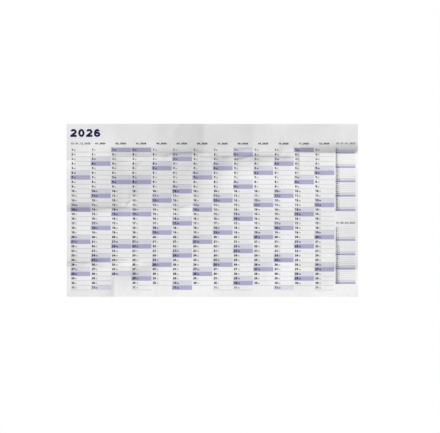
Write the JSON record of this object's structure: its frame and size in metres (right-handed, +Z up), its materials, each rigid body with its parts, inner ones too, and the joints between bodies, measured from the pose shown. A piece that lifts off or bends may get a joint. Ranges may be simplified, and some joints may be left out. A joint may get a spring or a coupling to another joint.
{
  "type": "wall calendar",
  "caption": "Large landscape year planner sheet for a wall: printed paper with shallow grooves and tilted panels where it was folded and opened out again.",
  "frame": {"origin": "middle of the sheet on the wall plane, where the flat middle panel lies on the wall with its back", "axes": "+X along the sheet's width, to the reader's right; +Y into the wall, so the printed front faces -Y; +Z up"},
  "size_m": [1, 0.0098, 0.594],
  "materials": {
    "printed_paper": "matt uncoated white paper, printed in blue and black"
  },
  "bodies": {
    "root": {"calendar_sheet": "printed_paper"}
  },
  "joints": []
}
